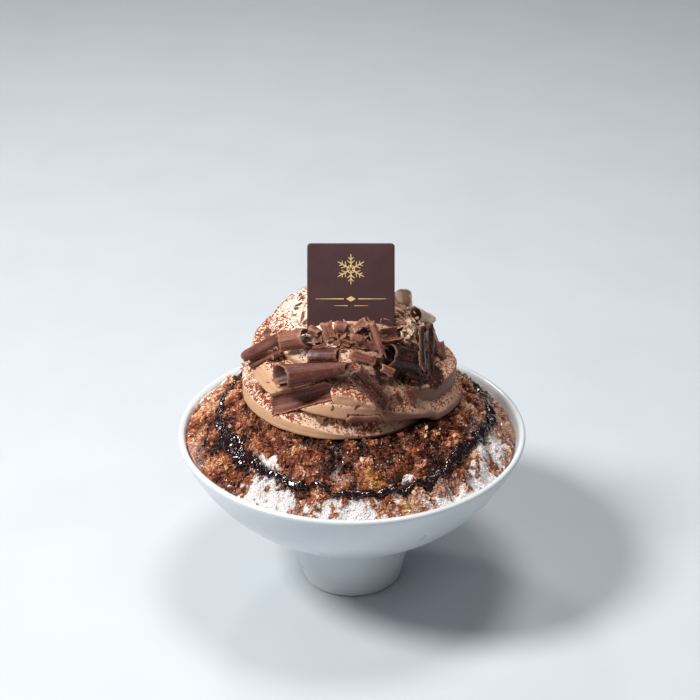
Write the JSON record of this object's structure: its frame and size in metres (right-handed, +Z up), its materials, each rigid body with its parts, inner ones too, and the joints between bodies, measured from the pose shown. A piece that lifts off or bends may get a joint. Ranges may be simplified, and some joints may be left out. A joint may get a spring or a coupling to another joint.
{
  "type": "kakigori dessert in a footed bowl",
  "caption": "Shaved ice heaped in a white footed bowl, ringed with thick sauce and topped with piped cocoa cream, chocolate curls and a thin square chocolate plaque.",
  "frame": {"origin": "centre of the foot, on the surface that it stands on", "axes": "+Z up, -Y towards the front, which the plaque faces, and +X to the right seen from the front"},
  "size_m": [0.1598, 0.16, 0.171],
  "materials": {
    "china": "smooth white glazed china with a soft gloss",
    "ice": "coarse wet shaved ice, soaked brown by syrup and white where it is bare, with a glossy dark sauce",
    "cream": "soft satin whipped cream, dusted with cocoa",
    "plaque": "satin dark chocolate with a thin gold printed ornament",
    "chocolate": "matt broken chocolate, dusty, with fine streaks from the blade"
  },
  "bodies": {
    "root": {"bowl": "china", "shaved_ice": "ice", "cream": "cream", "plaque": "plaque", "curl_01": "chocolate", "curl_02": "chocolate", "curl_03": "chocolate", "curl_04": "chocolate", "curl_05": "chocolate", "curl_06": "chocolate", "curl_07": "chocolate", "curl_08": "chocolate", "curl_09": "chocolate", "curl_10": "chocolate", "curl_11": "chocolate", "curl_12": "chocolate", "curl_13": "chocolate", "curl_14": "chocolate", "curl_15": "chocolate", "curl_16": "chocolate", "curl_17": "chocolate", "curl_18": "chocolate", "curl_19": "chocolate", "curl_20": "chocolate", "curl_21": "chocolate", "curl_22": "chocolate", "curl_23": "chocolate", "curl_24": "chocolate", "curl_25": "chocolate", "curl_26": "chocolate", "curl_27": "chocolate", "curl_28": "chocolate"}
  },
  "joints": []
}
